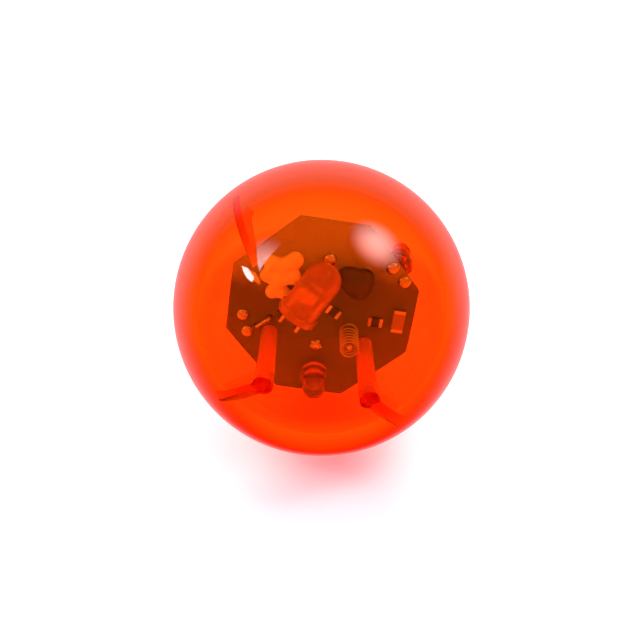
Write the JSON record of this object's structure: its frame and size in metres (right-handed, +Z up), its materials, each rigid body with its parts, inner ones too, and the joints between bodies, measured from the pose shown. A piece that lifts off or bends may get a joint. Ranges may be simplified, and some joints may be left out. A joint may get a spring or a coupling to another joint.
{
  "type": "light-up cat ball",
  "caption": "Clear orange plastic toy ball for a cat, with a circuit board inside that blinks its lamps when the ball is knocked.",
  "frame": {"origin": "centre of the ball, which is also the middle of the circuit board", "axes": "+Z up, with the floor below at -Z; the front half, over the side of the board with the switch, faces -Y; +X to the right of a viewer who faces the front half"},
  "size_m": [0.04, 0.04, 0.04],
  "materials": {
    "clear_orange": "clear, polished",
    "board_laminate": "paper laminate, satin",
    "clear_lens": "clear, polished",
    "tinned_wire": "tinned, bright",
    "solder": "bright solder",
    "hot_glue": "cloudy, glossy",
    "spring_steel": "bright spring wire",
    "black_resin": "glossy drop",
    "tan_ceramic": "fired ceramic",
    "black_ceramic": "fired ceramic",
    "contact_bronze": "plated spring bronze",
    "sleeve_film": "shrunk film",
    "nickel_steel": "nickel plated",
    "white_nylon": "moulded"
  },
  "bodies": {
    "ball": {"front_shell": "clear_orange", "rear_shell": "clear_orange", "circuit_board": "board_laminate", "glue_bead": "hot_glue", "spring_base": "spring_steel", "switch_pin": "tinned_wire", "switch_solder": "solder", "chip_blob": "black_resin", "chip_capacitor": "tan_ceramic", "chip_resistors": "black_ceramic", "chip_end_caps": "solder", "jumper_wire": "tinned_wire", "jumper_solder": "solder", "battery_contact": "contact_bronze", "battery_sleeve": "sleeve_film", "battery_clip": "nickel_steel", "clip_solder": "solder", "front_led_lens": "clear_lens", "front_led_leads": "tinned_wire", "front_led_solder": "solder", "upper_led_lens": "clear_lens", "upper_led_leads": "tinned_wire", "upper_led_solder": "solder", "side_led_lens": "clear_lens", "side_led_leads": "tinned_wire", "side_led_solder": "solder", "lying_led_lens": "clear_lens", "lying_led_leads": "tinned_wire", "lying_led_solder": "solder", "near_cell_can": "nickel_steel", "near_cell_seal": "white_nylon", "near_cell_cap": "nickel_steel", "far_cell_can": "nickel_steel", "far_cell_seal": "white_nylon", "far_cell_cap": "nickel_steel"},
    "spring": {"motion_spring": "spring_steel"}
  },
  "joints": [
    {"name": "spring_wobble", "type": "hinge", "parent": "ball", "child": "spring", "pos_m": [0.00368, -0.00153, -0.00309], "axis": [1, 0, 0], "range_deg": [-7.5, 7.5], "stiffness_Nm_per_rad": 0.000027}
  ]
}
